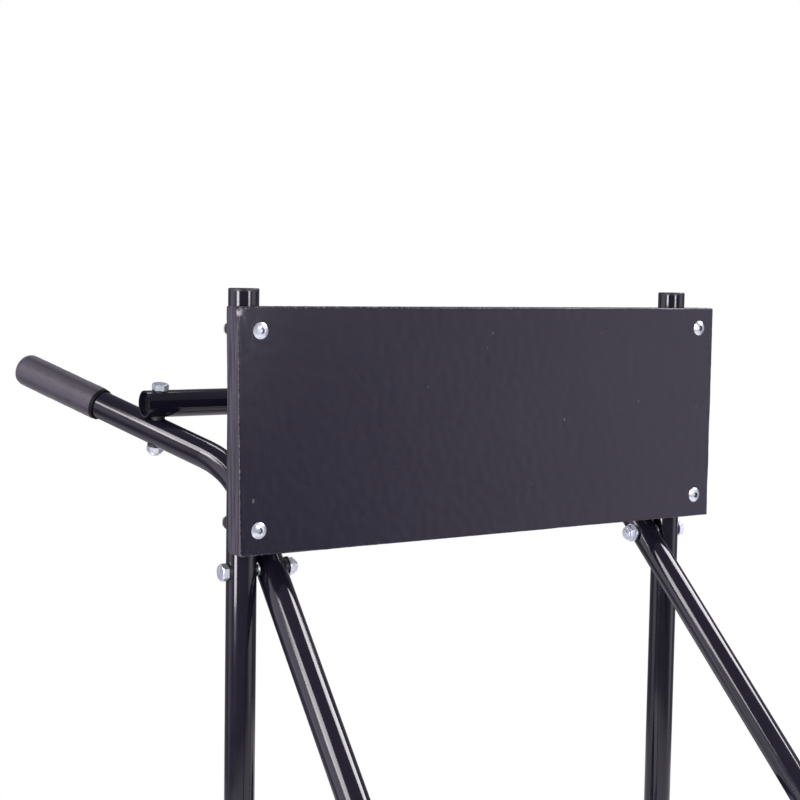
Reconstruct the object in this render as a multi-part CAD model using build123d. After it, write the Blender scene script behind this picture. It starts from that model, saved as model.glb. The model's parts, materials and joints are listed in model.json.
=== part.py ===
from build123d import *
import math
import os

# Outboard motor stand cart: a wooden clamp board on two upright tubes, two bent tubes that are
# front leg and rear handle in one piece, cross tubes, side rails and two wheels on one axle.
#
# Millimetres. +X is to the right for someone facing the board, +Y points to the handles behind it,
# +Z is up, and the floor is z = 0.
# While it is drawn, y = 0 is the plane of the uprights; centre_footprint moves the finished
# parts so that the origin is at the middle of the footprint.

# Tubes
TUBE_R = 12.7
CROSS_R = 12.0
WALL = 1.6
TOUCH = 0.05

# Board and uprights
BOARD_TOP_Z = 784.5
BOARD_LENGTH = 512.0
BOARD_HEIGHT = 200.0
BOARD_THICKNESS = 23.0
BOARD_EDGE_R = 3.0
UPRIGHT_X = 234.5
UPRIGHT_TOP_Z = BOARD_TOP_Z + 11.7
UPRIGHT_BOTTOM_Z = 105.0
CAP_FLANGE = 2.5
SCREW_X = 238.0
SCREW_DROPS = (19.2, 179.5)

# Leg and handle tube: the leg crosses the upright at LEG_CROSS_Z, runs down and forward,
# and above the crossing it bends outward and to the rear into the handle
LEG_CROSS_X = 207.0
LEG_CROSS_Z = BOARD_TOP_Z - 218.0
LEG_FORWARD = 0.975
LEG_SPLAY = 0.0655
BEND_RISE = 75.2
BEND_R = 90.0
HANDLE_FLARE = 0.577
HANDLE_RISE = 0.39
LEG_END_Z = 14.0
GRIP_START_Y = 196.9
GRIP_END_Y = 274.6
GRIP_R = 14.7
GRIP_END_WALL = 4.0
FOOT_R = 16.5
FOOT_HEIGHT = 52.0

# Handle cross tube
CROSS_Y = 140.2
CROSS_Z = BOARD_TOP_Z - 90.2
CROSS_HALF = 257.5
CROSS_BOLT_TILT = math.radians(10.65)
PLUG_T = 3.0
PLUG_DISH = 1.2
PLUG_SET_BACK = 2.0
HANDLE_PLUG_SET_BACK = 6.0

# Lower frame
AXLE_Z = 127.0
AXLE_R = 8.0
FRONT_CROSS_LEG_Z = 75.0
FRONT_CROSS_HALF = 262.0
REAR_CROSS_Z = 230.0
REAR_CROSS_HALF = 247.0
RAIL_TAB_T = 4.0
RAIL_TAB_HEIGHT = 34.0
RAIL_TAB_FACE_X = 221.7
RAIL_FLAT = 42.0
RAIL_TAPER = 34.0

# Fasteners: M8 hexagon bolts and lock nuts, M6 button screws
M8_R = 4.0
M8_HOLE_R = 4.25
M8_FLATS = 13.0
M8_HEAD_H = 5.3
M8_NUT_H = 6.8
M8_END = 1.5
M6_R = 3.0
M6_HOLE_R = 3.25
M6_FLATS = 10.0
M6_NUT_H = 6.0
M6_HEAD_R = 6.8
M6_HEAD_H = 2.3
M6_SOCKET_FLATS = 4.8
M6_SOCKET_DEPTH = 2.0
M6_END = 1.5
THREAD_FIT = 0.02
WASHER_R = 8.5
WASHER_T = 1.5
GAP_WASHER_R = 6.0
SADDLE_R = 7.0
BOARD_SADDLE_R = 6.5
BOARD_SADDLE_FROM = 8.0
THIN_SADDLE = 1.5
THICK_SADDLE = 2.0
CROSS_SADDLE = 1.0
HANDLE_SADDLE = 1.2
SPACER_HALF = 2.2
CROSS_SPACER_R = 6.5

# Wheel
WHEEL_X = 292.5
TYRE_R = 127.0
RIM_SEAT_R = 50.0
RIM_BOLT_CIRCLE_R = 33.0
RIM_SHEET = 2.0
HUB_R = 21.0
HUB_BORE_R = 15.0
HUB_HALF = 35.0
BEARING_R = 17.5
BEARING_W = 11.0
BEARING_FIT = 0.04
SPACER_R = 11.0
AXLE_WASHER_R = 14.0
AXLE_WASHER_T = 2.0
AXLE_FIT = 0.1
WHEEL_PLAY = 0.2
PIN_R = 1.75
PIN_WIRE_R = 1.2
PIN_EYE_R = 3.4
PIN_X = 332.5
AXLE_HALF = 340.0
TREAD_GROOVES = (-14.0, 0.0, 14.0)
VALVE_X = 13.0
VALVE_R = 3.5
AIR_RING_R = 86.0
AIR_TUBE_R = 27.0
AIR_WALL = 2.0

SIDES = {"left": -1, "right": 1}
BOTTOM = (Align.CENTER, Align.CENTER, Align.MIN)


# ---------- helpers ----------


def along(start, direction, shape, x_dir=None):
    """The shape, drawn along +Z from the origin, set at start and pointing along direction."""
    return Plane(origin=start, x_dir=x_dir, z_dir=direction).location * shape


def rod(start, end, radius):
    """Solid round bar from start to end."""
    span = Vector(*end) - Vector(*start)
    return along(start, span, Cylinder(radius, span.length, align=BOTTOM))


def bore(point, direction, radius, reach=60.0):
    """Round cutter through point, reaching the same distance each way."""
    step = Vector(*direction).normalized() * reach
    return rod(Vector(*point) - step, Vector(*point) + step, radius)


def ring(outer, inner, height):
    """Flat ring standing on z = 0."""
    return Cylinder(outer, height, align=BOTTOM) - Cylinder(inner, height, align=BOTTOM)


def tube(start, end, radius):
    """Straight tube with the common wall thickness."""
    return rod(start, end, radius) - rod(start, end, radius - WALL)


def turned(points):
    """Solid turned about the X axis from (axial, radius) points."""
    return revolve(make_face(Polyline(*points, close=True)), axis=Axis.X)


def leg_point(side, z):
    """Point of the leg's axis at height z."""
    drop = LEG_CROSS_Z - z
    return Vector(side * (LEG_CROSS_X + LEG_SPLAY * drop), -LEG_FORWARD * drop, z)


def bend_point(side):
    return leg_point(side, LEG_CROSS_Z + BEND_RISE)


def handle_point(side, y):
    """Point of the handle's axis at the distance y behind the uprights."""
    corner = bend_point(side)
    run = y - corner.Y
    return corner + Vector(side * HANDLE_FLARE * run, run, HANDLE_RISE * run)


def leg_direction(side):
    return (bend_point(side) - leg_point(side, 0)).normalized()


def handle_direction(side):
    return (handle_point(side, GRIP_END_Y) - bend_point(side)).normalized()


# ---------- fasteners, drawn along +Z with the bearing face on z = 0 ----------


def hexagon(flats, height, chamfer=0.9):
    """Hexagon prism with its corners turned off at the top."""
    corner = flats / math.sqrt(3)
    prism = extrude(RegularPolygon(flats / 2, 6, major_radius=False), height)
    barrel = Cylinder(corner, height - chamfer, align=BOTTOM)
    crown = Pos(0, 0, height - chamfer) * Cone(corner, flats / 2 * 0.97, chamfer, align=BOTTOM)
    return prism & (barrel + crown)


def hex_bolt(length):
    shank = Pos(0, 0, -length) * Cylinder(M8_R, length, align=BOTTOM)
    tip = chamfer(shank.edges().sort_by(Axis.Z)[0], 0.8)
    return hexagon(M8_FLATS, M8_HEAD_H) + tip


def lock_nut(flats, height, thread_r):
    """Hexagon nut with the round collar that holds its locking ring."""
    collar_h = 0.25 * height
    body = hexagon(flats, height - collar_h)
    collar = Pos(0, 0, height - collar_h) * Cylinder(flats * 0.43, collar_h, align=BOTTOM)
    collar = fillet(collar.edges().sort_by(Axis.Z)[-1], 0.7)
    return body + collar - Cylinder(thread_r + THREAD_FIT, height, align=BOTTOM)


def button_screw(length):
    """Domed head with a hexagon socket."""
    dome_r = (M6_HEAD_R**2 + M6_HEAD_H**2) / (2 * M6_HEAD_H)
    dome = Pos(0, 0, M6_HEAD_H - dome_r) * Sphere(dome_r)
    head = dome & Cylinder(M6_HEAD_R, M6_HEAD_H, align=BOTTOM)
    shank = Pos(0, 0, -length) * Cylinder(M6_R, length, align=BOTTOM)
    socket = extrude(RegularPolygon(M6_SOCKET_FLATS / 2, 6, major_radius=False), M6_HEAD_H)
    return head + shank - Pos(0, 0, M6_HEAD_H - M6_SOCKET_DEPTH) * socket


def saddle(centre, outward, tube_dir, tube_r, seat):
    """Washer with one face hollowed to sit on a tube; its flat face is at seat from the tube's axis."""
    wrap = math.sqrt(tube_r**2 - SADDLE_R**2) + 0.4
    blank = along(centre + outward * wrap, outward, ring(SADDLE_R, M8_HOLE_R, seat - wrap))
    return blank - bore(centre, tube_dir, tube_r + THREAD_FIT)


# ---------- board and uprights ----------


def mounting_board():
    front_y = -TUBE_R - BOARD_THICKNESS
    middle = (0, front_y + BOARD_THICKNESS / 2, BOARD_TOP_Z - BOARD_HEIGHT / 2)
    board = Pos(*middle) * Box(BOARD_LENGTH, BOARD_THICKNESS, BOARD_HEIGHT)
    board = fillet(board.edges(), BOARD_EDGE_R)
    for x, z in screw_places():
        board -= bore((x, front_y, z), (0, 1, 0), M6_HOLE_R)
    return board


def screw_places():
    return [(side * SCREW_X, BOARD_TOP_Z - drop) for side in SIDES.values() for drop in SCREW_DROPS]


def board_screws():
    """The four screws through board and uprights, their saddle washers and lock nuts."""
    front = Vector(0, -TUBE_R - BOARD_THICKNESS, 0)
    seat = TUBE_R + THIN_SADDLE
    length = BOARD_THICKNESS + TUBE_R + seat + M6_NUT_H + M6_END
    screws, saddles, nuts = [], [], []
    for x, z in screw_places():
        place = Vector(x, 0, z)
        upright = Vector(math.copysign(UPRIGHT_X, x), 0, z)
        rear = Vector(0, 1, 0)
        screws.append(along(place + front, (0, -1, 0), button_screw(length)))
        blank = ring(BOARD_SADDLE_R, M6_HOLE_R, seat - BOARD_SADDLE_FROM)
        blank = along(place + rear * BOARD_SADDLE_FROM, rear, blank)
        saddles.append(blank - bore(upright, (0, 0, 1), TUBE_R + THREAD_FIT))
        nuts.append(along(place + rear * seat, rear, lock_nut(M6_FLATS, M6_NUT_H, M6_R)))
    return screws, saddles, nuts


def upright(side):
    post = tube((side * UPRIGHT_X, 0, UPRIGHT_BOTTOM_Z), (side * UPRIGHT_X, 0, UPRIGHT_TOP_Z), TUBE_R)
    for drop in SCREW_DROPS:
        post -= bore((side * SCREW_X, 0, BOARD_TOP_Z - drop), (0, 1, 0), M6_HOLE_R)
    post -= bore((side * UPRIGHT_X, 0, LEG_CROSS_Z), (1, 0, 0), M8_HOLE_R)
    post -= bore((side * UPRIGHT_X, 0, REAR_CROSS_Z), (0, 1, 0), M8_HOLE_R)
    post -= bore((side * UPRIGHT_X, 0, AXLE_Z), (1, 0, 0), AXLE_R + AXLE_FIT)
    return post


def end_cap():
    """Plastic cap: a thin flange over the tube's rim and a plug inside, flange on z = 0."""
    flange = Cylinder(TUBE_R, CAP_FLANGE, align=BOTTOM)
    flange = fillet(flange.edges().sort_by(Axis.Z)[-1], 1.2)
    plug = Pos(0, 0, -12) * Cylinder(TUBE_R - WALL - 0.02, 12, align=BOTTOM)
    return flange + plug


# ---------- legs, handles, grips and feet ----------


def leg_tube(side):
    """Leg and handle in one bent tube, drilled for the bolts that cross it."""
    path = FilletPolyline(
        leg_point(side, LEG_END_Z),
        bend_point(side),
        handle_point(side, GRIP_END_Y) - handle_direction(side) * GRIP_END_WALL,
        radius=BEND_R,
    )
    section = Plane(origin=path @ 0, z_dir=path % 0)
    bent = sweep(section * Circle(TUBE_R), path=path) - sweep(section * Circle(TUBE_R - WALL), path=path)
    bent -= bore(leg_point(side, LEG_CROSS_Z), (1, 0, 0), M8_HOLE_R)
    bent -= bore(leg_point(side, AXLE_Z), (1, 0, 0), M8_HOLE_R)
    top, low = cross_bolt_ends(side)
    bent -= bore(low, top - low, M8_HOLE_R, 20)
    bent -= bore(leg_point(side, FRONT_CROSS_LEG_Z), front_cross_normal(), M8_HOLE_R, 20)
    return bent


def grip(side):
    """Soft sleeve over the handle's end, closed and rounded behind."""
    start = handle_point(side, GRIP_START_Y)
    end = handle_point(side, GRIP_END_Y)
    length = (end - start).length
    sleeve = Cylinder(GRIP_R, length, align=BOTTOM)
    sleeve = fillet(sleeve.edges().sort_by(Axis.Z)[-1], 7.0)
    sleeve = fillet(sleeve.edges().sort_by(Axis.Z)[0], 1.0)
    sleeve -= Cylinder(TUBE_R + THREAD_FIT, length - GRIP_END_WALL + 0.05, align=BOTTOM)
    return along(start, handle_direction(side), sleeve)


def foot(side):
    """Rubber boot on the leg's lower end, cut level to stand on the floor."""
    top = leg_point(side, FOOT_HEIGHT)
    body = rod(leg_point(side, -40), top, FOOT_R)
    body = fillet(body.edges().sort_by(Axis.Z)[-1], 1.5)
    body &= Pos(0, 0, 100) * Box(2000, 2000, 200)
    socket = rod(leg_point(side, LEG_END_Z - 0.1), leg_point(side, FOOT_HEIGHT + 20), TUBE_R + THREAD_FIT)
    return body - socket


# ---------- bolts through upright and leg ----------


def leg_bolts():
    bolts, saddles, washers, nuts = [], [], [], []
    for side in SIDES.values():
        out = Vector(side, 0, 0)
        post = Vector(side * UPRIGHT_X, 0, LEG_CROSS_Z)
        leg = leg_point(side, LEG_CROSS_Z)
        outer_seat = post + out * (TUBE_R + THIN_SADDLE)
        inner_seat = leg - out * (TUBE_R + THICK_SADDLE)
        nut_seat = inner_seat - out * WASHER_T
        length = (outer_seat - nut_seat).length + M8_NUT_H + M8_END
        bolts.append(along(outer_seat, out, hex_bolt(length)))
        saddles.append(saddle(post, out, (0, 0, 1), TUBE_R, TUBE_R + THIN_SADDLE))
        saddles.append(saddle(leg, out * -1, leg_direction(side), TUBE_R, TUBE_R + THICK_SADDLE))
        gap_middle = (UPRIGHT_X + LEG_CROSS_X) / 2 - WASHER_T / 2
        gap_washer = ring(GAP_WASHER_R, M8_HOLE_R, WASHER_T)
        washers.append(along((side * gap_middle, 0, LEG_CROSS_Z), out, gap_washer))
        washers.append(along(nut_seat, out, ring(WASHER_R, M8_HOLE_R, WASHER_T)))
        nuts.append(along(nut_seat, out * -1, lock_nut(M8_FLATS, M8_NUT_H, M8_R)))
    return bolts, saddles, washers, nuts


# ---------- cross tubes ----------


def cross_bolt_ends(side):
    """Where the tilted bolt meets the cross tube's axis and the handle's axis."""
    tilt = Vector(0, -math.sin(CROSS_BOLT_TILT), math.cos(CROSS_BOLT_TILT))
    corner = bend_point(side)
    gap = CROSS_Z - corner.Z - HANDLE_RISE * (CROSS_Y - corner.Y)
    reach = gap / (tilt.Z - HANDLE_RISE * tilt.Y)
    y = CROSS_Y - tilt.Y * reach
    low = handle_point(side, y)
    return low + tilt * reach, low


def drilled_cross_tube(half, y, z, radius, bolt_lines):
    bar = tube((-half, y, z), (half, y, z), radius)
    for point, direction in bolt_lines:
        bar -= bore(point, direction, M8_HOLE_R, 20)
    return bar


def cross_plugs(half, y, z, radius, set_back=PLUG_SET_BACK):
    """Plastic plugs set a little inside the ends of a cross tube."""
    plug_r = radius - WALL - 0.02
    plug = Cylinder(plug_r, PLUG_T, align=BOTTOM)
    plug -= Pos(0, 0, PLUG_T - PLUG_DISH) * Cylinder(plug_r - 2.0, PLUG_DISH, align=BOTTOM)
    inner_end = half - set_back - PLUG_T
    return [along((side * inner_end, y, z), (side, 0, 0), plug) for side in SIDES.values()]


def crossing_bolt(top, low, top_dir, low_dir, top_seat, low_seat, top_r, low_r):
    """Bolt, two saddles and nut that hold a tube (axis at top) on another (axis at low)."""
    axis = (top - low).normalized()
    head = top + axis * top_seat
    nut = low - axis * low_seat
    length = (head - nut).length + M8_NUT_H + M8_END
    bolt = along(head, axis, hex_bolt(length))
    saddles = [
        saddle(top, axis, top_dir, top_r, top_seat),
        saddle(low, axis * -1, low_dir, low_r, low_seat),
    ]
    return bolt, saddles, along(nut, axis * -1, lock_nut(M8_FLATS, M8_NUT_H, M8_R))


def handle_cross():
    """Cross tube between the handles, on top of both."""
    lines = []
    bolts, saddles, nuts, spacers = [], [], [], []
    for side in SIDES.values():
        top, low = cross_bolt_ends(side)
        lines.append((top, top - low))
        spacers.append(contact_spacer(top, low, handle_direction(side)))
        bolt, pair, nut = crossing_bolt(
            top, low, (1, 0, 0), handle_direction(side),
            CROSS_R + CROSS_SADDLE, TUBE_R + HANDLE_SADDLE, CROSS_R, TUBE_R,
        )
        bolts.append(bolt)
        saddles += pair
        nuts.append(nut)
    bar = drilled_cross_tube(CROSS_HALF, CROSS_Y, CROSS_Z, CROSS_R, lines)
    plugs = cross_plugs(CROSS_HALF, CROSS_Y, CROSS_Z, CROSS_R, HANDLE_PLUG_SET_BACK)
    return bar, plugs, bolts, saddles, nuts, spacers


def contact_spacer(top, low, low_dir):
    """Ring round the bolt where the two tubes touch, hollowed on both faces to fit them."""
    up = (top - low).normalized()
    middle = low + up * (top - low).length * TUBE_R / (TUBE_R + CROSS_R)
    blank = along(middle - up * SPACER_HALF, up, ring(CROSS_SPACER_R, M8_HOLE_R, 2 * SPACER_HALF))
    blank -= bore(top, (1, 0, 0), CROSS_R + THREAD_FIT)
    return blank - bore(low, low_dir, TUBE_R + THREAD_FIT)


def front_cross_normal():
    """From the leg towards the front cross tube behind it, square to both."""
    return Vector(0, 1, -LEG_FORWARD).normalized()


def front_cross():
    """Cross tube low down behind both legs."""
    behind = front_cross_normal()
    offset = behind * (2 * TUBE_R + TOUCH)
    lines = []
    bolts, saddles, nuts = [], [], []
    for side in SIDES.values():
        leg = leg_point(side, FRONT_CROSS_LEG_Z)
        bar_point = leg + offset
        lines.append((bar_point, behind))
        bolt, pair, nut = crossing_bolt(
            leg, bar_point, leg_direction(side), (1, 0, 0),
            TUBE_R + THIN_SADDLE, TUBE_R + THIN_SADDLE, TUBE_R, TUBE_R,
        )
        bolts.append(bolt)
        saddles += pair
        nuts.append(nut)
    bar = drilled_cross_tube(FRONT_CROSS_HALF, bar_point.Y, bar_point.Z, TUBE_R, lines)
    plugs = cross_plugs(FRONT_CROSS_HALF, bar_point.Y, bar_point.Z, TUBE_R)
    return bar, plugs, bolts, saddles, nuts


def rear_cross():
    """Cross tube low down behind both uprights."""
    y = 2 * TUBE_R + TOUCH
    lines = []
    bolts, saddles, nuts = [], [], []
    for side in SIDES.values():
        post = Vector(side * UPRIGHT_X, 0, REAR_CROSS_Z)
        bar_point = Vector(side * UPRIGHT_X, y, REAR_CROSS_Z)
        lines.append((bar_point, (0, 1, 0)))
        bolt, pair, nut = crossing_bolt(
            post, bar_point, (0, 0, 1), (1, 0, 0),
            TUBE_R + THIN_SADDLE, TUBE_R + THIN_SADDLE, TUBE_R, TUBE_R,
        )
        bolts.append(bolt)
        saddles += pair
        nuts.append(nut)
    bar = drilled_cross_tube(REAR_CROSS_HALF, y, REAR_CROSS_Z, TUBE_R, lines)
    return bar, cross_plugs(REAR_CROSS_HALF, y, REAR_CROSS_Z, TUBE_R), bolts, saddles, nuts


# ---------- side rails ----------


def side_rail(side):
    """Tube from axle to leg with both ends pressed flat: the axle and a bolt pass the flats."""
    x = side * (RAIL_TAB_FACE_X - RAIL_TAB_T / 2)
    rear_end = Vector(x, 0, AXLE_Z)
    front_end = Vector(x, leg_point(side, AXLE_Z).Y, AXLE_Z)
    inset = Vector(0, RAIL_FLAT + RAIL_TAPER, 0)
    rail = tube(rear_end - inset, front_end + inset, TUBE_R)
    for end, way in ((rear_end, -1), (front_end, 1)):
        flat = Pos(0, 0, RAIL_FLAT / 2) * Box(RAIL_TAB_T, RAIL_TAB_HEIGHT, RAIL_FLAT)
        tip = extrude(Plane.YZ * Circle(RAIL_TAB_HEIGHT / 2), RAIL_TAB_T / 2, both=True)
        taper = loft(
            [
                Pos(0, 0, RAIL_FLAT) * Rectangle(RAIL_TAB_T, RAIL_TAB_HEIGHT),
                Pos(0, 0, RAIL_FLAT + RAIL_TAPER) * Circle(TUBE_R),
            ]
        )
        rail += along(end, (0, way, 0), flat + tip + taper, x_dir=(1, 0, 0))
    rail -= bore(rear_end, (1, 0, 0), AXLE_R + AXLE_FIT)
    rail -= bore(front_end, (1, 0, 0), M8_HOLE_R)
    return rail


def rail_bolts():
    bolts, saddles, nuts = [], [], []
    for side in SIDES.values():
        out = Vector(side, 0, 0)
        leg = leg_point(side, AXLE_Z)
        head = leg + out * (TUBE_R + THIN_SADDLE)
        nut = Vector(side * (RAIL_TAB_FACE_X - RAIL_TAB_T), leg.Y, AXLE_Z)
        length = (head - nut).length + M8_NUT_H + M8_END
        bolts.append(along(head, out, hex_bolt(length)))
        saddles.append(saddle(leg, out, leg_direction(side), TUBE_R, TUBE_R + THIN_SADDLE))
        nuts.append(along(nut, out * -1, lock_nut(M8_FLATS, M8_NUT_H, M8_R)))
    return bolts, saddles, nuts


# ---------- axle ----------


def axle():
    bar = rod((-AXLE_HALF, 0, AXLE_Z), (AXLE_HALF, 0, AXLE_Z), AXLE_R)
    bar = chamfer(bar.edges(), 1.2)
    for side in SIDES.values():
        bar -= bore((side * PIN_X, 0, AXLE_Z), (0, 0, 1), PIN_R + 0.1)
    return bar


def axle_rings():
    """Spacer tubes beside the uprights, and a flat washer on each side of each wheel."""
    spacers, washers = [], []
    hub_inner = WHEEL_X - HUB_HALF
    hub_outer = WHEEL_X + HUB_HALF
    upright_face = UPRIGHT_X + TUBE_R + TOUCH
    for side in SIDES.values():
        out = (side, 0, 0)
        inner_washer_x = hub_inner - WHEEL_PLAY - AXLE_WASHER_T
        spacer = ring(SPACER_R, AXLE_R + AXLE_FIT, inner_washer_x - upright_face)
        spacers.append(along((side * upright_face, 0, AXLE_Z), out, spacer))
        washer = ring(AXLE_WASHER_R, AXLE_R + AXLE_FIT, AXLE_WASHER_T)
        washers.append(along((side * inner_washer_x, 0, AXLE_Z), out, washer))
        washers.append(along((side * (hub_outer + WHEEL_PLAY), 0, AXLE_Z), out, washer))
    return spacers, washers


def split_pins():
    """Split pin through each end of the axle: a ring above, and two legs bent apart below."""
    pins = []
    for side in SIDES.values():
        centre = Vector(side * PIN_X, 0, AXLE_Z)
        reach = Vector(0, 0, AXLE_R + 1.5)
        pin = rod(centre - reach, centre + reach, PIN_R)
        pin += Pos(*(centre + reach + Vector(0, 0, PIN_EYE_R))) * Rot(0, 90, 0) * Torus(PIN_EYE_R, PIN_WIRE_R)
        split = centre - Vector(0, 0, AXLE_R)
        for way in (-1, 1):
            pin += rod(split, split + Vector(0, way * 5.5, -9.0), PIN_WIRE_R)
        pins.append(pin)
    return pins


# ---------- wheel, drawn about the X axis with its middle plane at x = 0 ----------


def tyre():
    """Hollow tyre with beads, bulging walls and three grooves round the tread."""
    outer = [
        Line((24.4, 50.1), (27.2, 52.9)),
        Line((27.2, 52.9), (27.2, 62.0)),
        ThreePointArc((27.2, 62.0), (36.8, 84.0), (34.0, 112.0)),
        ThreePointArc((34.0, 112.0), (32.6, 118.0), (28.0, 121.5)),
        ThreePointArc((28.0, 121.5), (0.0, TYRE_R), (-28.0, 121.5)),
        ThreePointArc((-28.0, 121.5), (-32.6, 118.0), (-34.0, 112.0)),
        ThreePointArc((-34.0, 112.0), (-36.8, 84.0), (-27.2, 62.0)),
        Line((-27.2, 62.0), (-27.2, 52.9)),
        Line((-27.2, 52.9), (-24.4, 50.1)),
        Line((-24.4, 50.1), (-19.0, 50.1)),
    ]
    inner = [
        Line((-19.0, 50.1), (-19.0, 58.0)),
        ThreePointArc((-19.0, 58.0), (-31.2, 82.0), (-29.0, 108.0)),
        ThreePointArc((-29.0, 108.0), (0.0, 118.0), (29.0, 108.0)),
        ThreePointArc((29.0, 108.0), (31.2, 82.0), (19.0, 58.0)),
        Line((19.0, 58.0), (19.0, 50.1)),
        Line((19.0, 50.1), (24.4, 50.1)),
    ]
    body = revolve(make_face(Curve() + outer + inner), axis=Axis.X)
    for x in TREAD_GROOVES:
        body -= turned([(x - 1.6, 121.5), (x + 1.6, 121.5), (x + 2.4, 130), (x - 2.4, 130)])
    return body


def inner_tube():
    """Air tube with its valve stem, which points to the hub."""
    stem = rod((VALVE_X, 0, 66), (VALVE_X, 0, 33), VALVE_R)
    cap = rod((VALVE_X, 0, 34), (VALVE_X, 0, 28), VALVE_R + 1.0)
    filled = Rot(0, 90, 0) * Torus(AIR_RING_R, AIR_TUBE_R) + stem + cap
    return filled - Rot(0, 90, 0) * Torus(AIR_RING_R, AIR_TUBE_R - AIR_WALL)


def rim_half(valve_hole):
    """Pressed steel half: flat web, drum under the bead and flange beside it."""
    half = turned(
        [
            (0, HUB_R + 0.05), (0, 46), (3, RIM_SEAT_R), (25, RIM_SEAT_R), (27.5, 52.5), (27.5, 61),
            (29.5, 61), (29.5, 51.7), (26, 48), (4.2, 48), (RIM_SHEET, 45.5), (RIM_SHEET, HUB_R + 0.05),
        ]
    )
    for angle in range(45, 360, 90):
        half -= Rot(angle, 0, 0) * bore((0, 0, RIM_BOLT_CIRCLE_R), (1, 0, 0), M8_HOLE_R)
    if valve_hole:
        half -= rod((VALVE_X, 0, 40), (VALVE_X, 0, 60), VALVE_R + 0.4)
    return half


def hub():
    """Hub tube with a seat for a bearing in each end."""
    body = rod((-HUB_HALF, 0, 0), (HUB_HALF, 0, 0), HUB_R) - bore((0, 0, 0), (1, 0, 0), HUB_BORE_R)
    for way in (-1, 1):
        seat = HUB_HALF - BEARING_W - 0.1
        body -= rod((way * seat, 0, 0), (way * HUB_HALF, 0, 0), BEARING_R + 0.02)
    return body


def bearing(way):
    """Ball bearing as one ring, with the shield set back between its two races."""
    outer_x = way * HUB_HALF
    inner_x = way * (HUB_HALF - BEARING_W)
    body = rod((inner_x, 0, 0), (outer_x, 0, 0), BEARING_R)
    body -= bore((0, 0, 0), (1, 0, 0), AXLE_R + BEARING_FIT)
    groove = ring(BEARING_R - 2.5, AXLE_R + 2.5, 1.0)
    return body - along((outer_x - way, 0, 0), (way, 0, 0), groove)


def rim_fasteners():
    bolt = hex_bolt(2 * RIM_SHEET + M8_NUT_H + 1.5)
    bolt = along((RIM_SHEET, 0, RIM_BOLT_CIRCLE_R), (1, 0, 0), bolt)
    nut = lock_nut(M8_FLATS, M8_NUT_H, M8_R)
    nut = along((-RIM_SHEET, 0, RIM_BOLT_CIRCLE_R), (-1, 0, 0), nut)
    turns = [Rot(angle, 0, 0) for angle in range(45, 360, 90)]
    return [turn * bolt for turn in turns], [turn * nut for turn in turns]


def wheel(name, side):
    """All parts of one wheel; the bolt heads and the valve face outward."""
    bolts, nuts = rim_fasteners()
    parts = {
        "tyre": [tyre()],
        "inner_tube": [inner_tube()],
        "outer_rim_half": [rim_half(True)],
        "inner_rim_half": [Rot(0, 0, 180) * rim_half(False)],
        "hub": [hub()],
        "bearings": [bearing(-1), bearing(1)],
        "rim_bolts": bolts,
        "rim_nuts": nuts,
    }
    facing = Rot(0, 0, 0 if side > 0 else 180)
    place = Pos(side * WHEEL_X, 0, AXLE_Z) * facing
    return {f"{name}_{part}": [place * solid for solid in solids] for part, solids in parts.items()}


# ---------- the whole stand ----------


def stand():
    """Every node's name and its solids."""
    nodes = {"mounting_board": [mounting_board()]}
    nodes["board_screws"], nodes["board_saddle_washers"], nodes["board_lock_nuts"] = board_screws()
    caps = {"top": (UPRIGHT_TOP_Z, 1), "bottom": (UPRIGHT_BOTTOM_Z, -1)}
    for end, (z, way) in caps.items():
        places = [(side * UPRIGHT_X, 0, z) for side in SIDES.values()]
        nodes[f"upright_{end}_caps"] = [along(place, (0, 0, way), end_cap()) for place in places]
    for name, side in SIDES.items():
        nodes[f"{name}_upright"] = [upright(side)]
        nodes[f"{name}_leg_and_handle"] = [leg_tube(side)]
        nodes[f"{name}_grip"] = [grip(side)]
        nodes[f"{name}_foot"] = [foot(side)]
        nodes[f"{name}_side_rail"] = [side_rail(side)]
        nodes.update(wheel(name, side))
    for part, solids in zip(("bolts", "saddle_washers", "washers", "lock_nuts"), leg_bolts()):
        nodes[f"leg_{part}"] = solids
    crossings = {"handle_cross": handle_cross, "front_cross": front_cross, "rear_cross": rear_cross}
    for place, build in crossings.items():
        bar, plugs, bolts, saddles, nuts, *spacers = build()
        nodes[f"{place}_tube"] = [bar]
        nodes[f"{place}_plugs"] = plugs
        nodes[f"{place}_bolts"] = bolts
        nodes[f"{place}_saddle_washers"] = saddles
        nodes[f"{place}_lock_nuts"] = nuts
        if spacers:
            nodes[f"{place}_spacers"] = spacers[0]
    nodes["rail_bolts"], nodes["rail_saddle_washers"], nodes["rail_lock_nuts"] = rail_bolts()
    nodes["axle"] = [axle()]
    nodes["axle_spacers"], nodes["axle_washers"] = axle_rings()
    nodes["axle_split_pins"] = split_pins()
    return nodes


def centre_footprint(nodes):
    """Move everything along Y until the origin is at the middle of the footprint."""
    boxes = [solid.bounding_box() for solids in nodes.values() for solid in solids]
    shift = -(min(box.min.Y for box in boxes) + max(box.max.Y for box in boxes)) / 2
    print("uprights and axle at y =", round(shift, 3))
    return {name: [Pos(0, shift, 0) * solid for solid in solids] for name, solids in nodes.items()}


def write(nodes):
    os.makedirs("parts", exist_ok=True)
    for name, solids in nodes.items():
        export_step(Compound(children=solids), f"parts/{name}.step")


write(centre_footprint(stand()))
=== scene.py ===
import json
import math

import bpy
import numpy as np
from mathutils import Matrix, Vector
from mathutils import noise as mathutils_noise


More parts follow.
